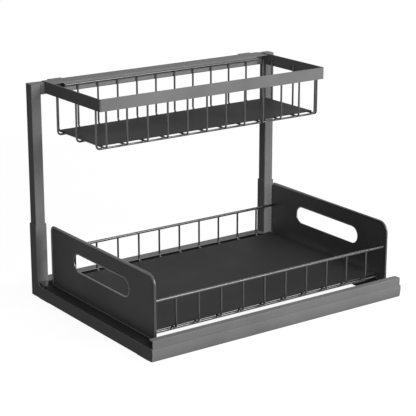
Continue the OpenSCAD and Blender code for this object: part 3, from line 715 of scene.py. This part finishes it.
# %% Upper basket: wire cage
CAGE_X, CAGE_Y0, CAGE_Y1, CAGE_Z = 176.5, -1.7, 124.15, 241.6
CAGE_WIRES, REAR_TOP = 12, 301.8
SIDE_X, SIDE_Y, SIDE_Z = 184.2, 11.5, 238.8
SIDE_WIRES, SIDE_PITCH = 3, 50.5
LEG_TOP = RIM_Z0 + 8.0
u_shape = [(-CAGE_X, CAGE_Y0, LEG_TOP), (-CAGE_X, CAGE_Y0, CAGE_Z),
           (-CAGE_X, CAGE_Y1, CAGE_Z), (-CAGE_X, CAGE_Y1, REAR_TOP)]
hand_over_wires(wire_row("upper_cross_wires_bent", u_shape, WIRE_R, copies=CAGE_WIRES,
                         step=(2 * CAGE_X / (CAGE_WIRES - 1), 0, 0)),
                "upper_basket", "upper_cross_wires")
u_shape = [(-SIDE_X, SIDE_Y, LEG_TOP), (-SIDE_X, SIDE_Y, SIDE_Z),
           (SIDE_X, SIDE_Y, SIDE_Z), (SIDE_X, SIDE_Y, LEG_TOP)]
hand_over_wires(wire_row("upper_side_wires_bent", u_shape, WIRE_R, copies=SIDE_WIRES,
                         step=(0, SIDE_PITCH, 0)),
                "upper_basket", "upper_side_wires")

# %% [markdown]
# ## The hidden parts
# Slides, retainers, balls, rivets, nuts, screws and pads keep the exact
# model's shapes. Each only needs its finish.

# %% Finishes of the carried-over nodes
KEPT = {
    ZINC: ["slide_outer_left", "slide_outer_right", "slide_inner_left", "slide_inner_right",
           "ball_retainer_left", "ball_retainer_right", "slide_rivets", "bar_nuts",
           "post_grub_screws"],
    STEEL: ["bearing_balls_left", "bearing_balls_right"],
    RUBBER: ["foot_pads", "slide_bumpers"],
}
for material, names in KEPT.items():
    for name in names:
        mesh = nodes[name].data
        if not mesh.materials:
            mesh.materials.append(material)
        for i in range(len(mesh.materials)):
            mesh.materials[i] = material
print("carried over:", sum(len(v) for v in KEPT.values()))

# %% [markdown]
# ## Stage and light
# The object stands on a plain pale floor. A large soft key lamp in front and
# to the right lights the fronts and tops, and leaves the left faces dark, as
# in the picture. A second lamp in front fills the fronts that the upper
# basket shades, and three weak ones keep the sides and the rear readable.
# What the camera and shiny faces see of the floor and sky is plain white,
# while the light that the sky sheds is dimmer and is set apart with the Light
# Path node.

# %% World
DIM_SKY = 0.105


def seen_directly(tree):
    """One where a camera, glossy or transmission ray looks, else zero."""
    path = tree.nodes.new("ShaderNodeLightPath")
    total = path.outputs["Is Camera Ray"]
    for name in ("Is Glossy Ray", "Is Transmission Ray"):
        either = node(tree, "ShaderNodeMath", operation="MAXIMUM")
        tree.links.new(total, either.inputs[0])
        tree.links.new(path.outputs[name], either.inputs[1])
        total = either.outputs[0]
    return total


world = bpy.data.worlds.new("studio")
scene.world = world
world.use_nodes = True
sky = world.node_tree
sky.nodes.clear()
dim = node(sky, "ShaderNodeBackground", in_Color=(1, 1, 1, 1), in_Strength=DIM_SKY)
white = node(sky, "ShaderNodeBackground", in_Color=(1, 1, 1, 1), in_Strength=1.0)
choose = sky.nodes.new("ShaderNodeMixShader")
sky_out = sky.nodes.new("ShaderNodeOutputWorld")
sky.links.new(seen_directly(sky), choose.inputs[0])
sky.links.new(dim.outputs[0], choose.inputs[1])
sky.links.new(white.outputs[0], choose.inputs[2])
sky.links.new(choose.outputs[0], sky_out.inputs["Surface"])
print("sky:", len(sky.nodes), "nodes, sheds", DIM_SKY)

# %% Floor: a shade under white by the object, plain white further away
REACH = 12.0
FLOOR_DROP = 0.00005
SHADE_NEAR, SHADE_FAR = 0.9, 3.5
NEAR_WHITE = 0.93
floor_paint = bpy.data.materials.new("white floor")
floor_paint.use_nodes = True
tree = floor_paint.node_tree
tree.nodes.clear()
matt = node(tree, "ShaderNodeBsdfDiffuse", in_Color=(0.1, 0.1, 0.1, 1))
glow = node(tree, "ShaderNodeEmission", in_Strength=1.0)
spot = tree.nodes.new("ShaderNodeTexCoord")
away = node(tree, "ShaderNodeVectorMath", operation="LENGTH")
rise = node(tree, "ShaderNodeMapRange", in_1=SHADE_NEAR, in_2=SHADE_FAR,
            in_3=NEAR_WHITE, in_4=1.0)
tree.links.new(spot.outputs["Object"], away.inputs[0])
tree.links.new(away.outputs["Value"], rise.inputs[0])
glow_level = node(tree, "ShaderNodeMath", operation="MULTIPLY")
tree.links.new(rise.outputs[0], glow_level.inputs[1])
both = tree.nodes.new("ShaderNodeAddShader")
floor_out = tree.nodes.new("ShaderNodeOutputMaterial")
tree.links.new(seen_directly(tree), glow_level.inputs[0])
tree.links.new(glow_level.outputs[0], glow.inputs["Strength"])
tree.links.new(matt.outputs[0], both.inputs[0])
tree.links.new(glow.outputs[0], both.inputs[1])
tree.links.new(both.outputs[0], floor_out.inputs["Surface"])

floor_mesh = bpy.data.meshes.new("floor")
floor_mesh.from_pydata([(-REACH, -REACH, 0), (REACH, -REACH, 0), (REACH, REACH, 0),
                        (-REACH, REACH, 0)], [], [(0, 1, 2, 3)])
floor_mesh.materials.append(floor_paint)
floor_piece = as_object("floor", floor_mesh)
floor_piece.location.z = -FLOOR_DROP
print("floor reaches", REACH, "m each way")

# %% Lamps: place in metres, width in metres, watts
AIM = Vector((0, 0, 0.12))
LAMPS = {
    "key": ((0.8, -1.85, 1.2), 1.3, 53),
    "front_fill": ((-0.35, -2.1, 1.1), 1.0, 30),
    "right_fill": ((2.0, 0.3, 1.1), 1.4, 10),
    "left_fill": ((-2.0, -0.2, 1.2), 1.4, 1),
    "rear_fill": ((0.0, 1.7, 2.1), 1.4, 10),
}


def soft_lamp(name, place_at, size, watts):
    """A square lamp that faces the middle of the object."""
    lamp = bpy.data.lights.new(name, "AREA")
    lamp.size = size
    lamp.energy = watts
    made = bpy.data.objects.new(name, lamp)
    made.location = place_at
    towards = AIM - made.location
    made.rotation_euler = towards.to_track_quat("-Z", "Y").to_euler()
    scene.collection.objects.link(made)


for name, (place_at, size, watts) in LAMPS.items():
    soft_lamp(name, place_at, size, watts)
scene.view_settings.view_transform = "Standard"
print("lamps:", list(LAMPS))
